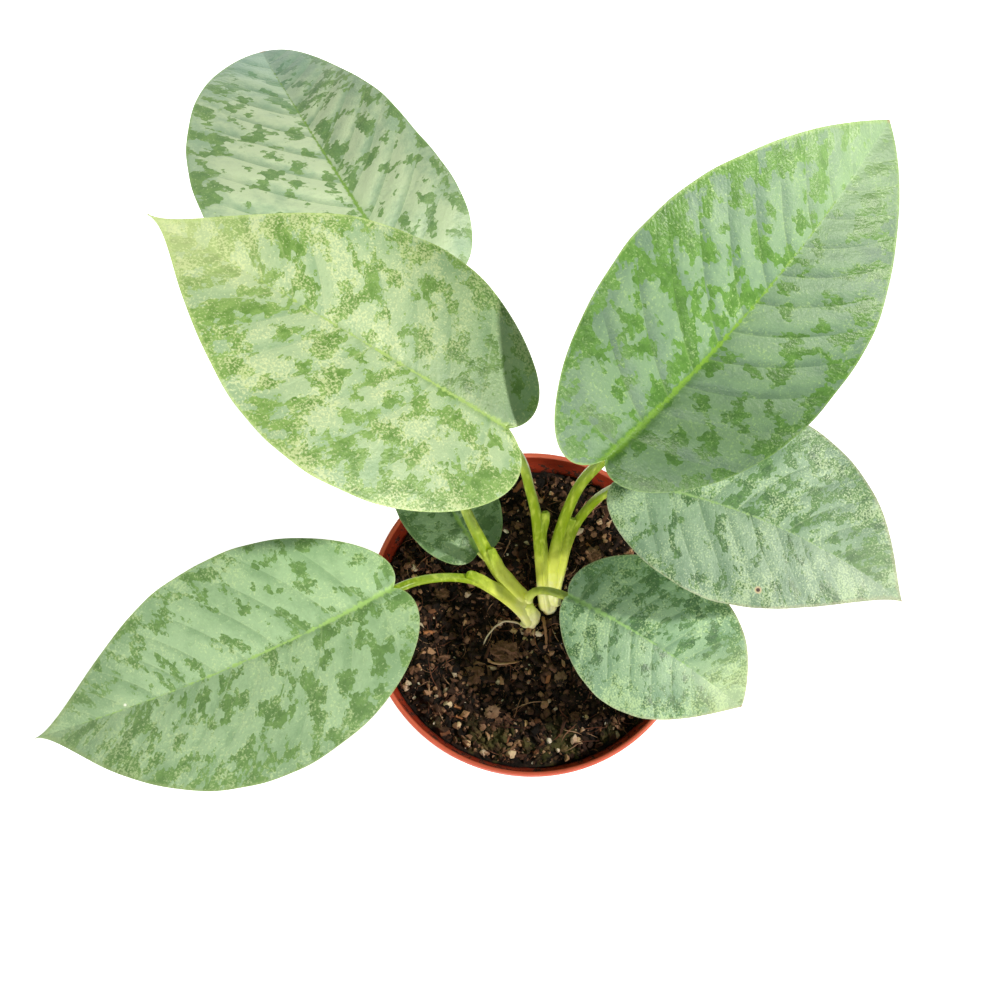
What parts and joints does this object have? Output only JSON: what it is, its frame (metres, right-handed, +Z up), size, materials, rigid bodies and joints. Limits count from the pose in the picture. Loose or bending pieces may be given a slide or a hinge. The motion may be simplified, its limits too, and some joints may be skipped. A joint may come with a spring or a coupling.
{
  "type": "potted variegated schismatoglottis longispatha",
  "caption": "Aroid house plant with broad pointed silvery green leaves patched with darker green, in a plain round plastic nursery pot filled with potting mix",
  "frame": {"origin": "centre of the pot's flat underside", "axes": "+Z up along the pot's axis, +X to the right and -Y towards the viewer in the picture"},
  "size_m": [0.2727, 0.249, 0.2521],
  "materials": {
    "pot": "satin",
    "soil": "matte",
    "crown": "satin",
    "stalk": "satin",
    "blade": "satin"
  },
  "bodies": {
    "root": {"pot": "pot", "soil": "soil", "crown_left": "crown", "crown_right": "crown", "stalk_back_left": "stalk", "stalk_left_high": "stalk", "stalk_right_high": "stalk", "stalk_right": "stalk", "stalk_front_right": "stalk", "stalk_left_low": "stalk", "stalk_inner_small": "stalk", "blade_back_left": "blade", "blade_left_high": "blade", "blade_right_high": "blade", "blade_right": "blade", "blade_front_right": "blade", "blade_left_low": "blade", "blade_inner_small": "blade"}
  },
  "joints": []
}
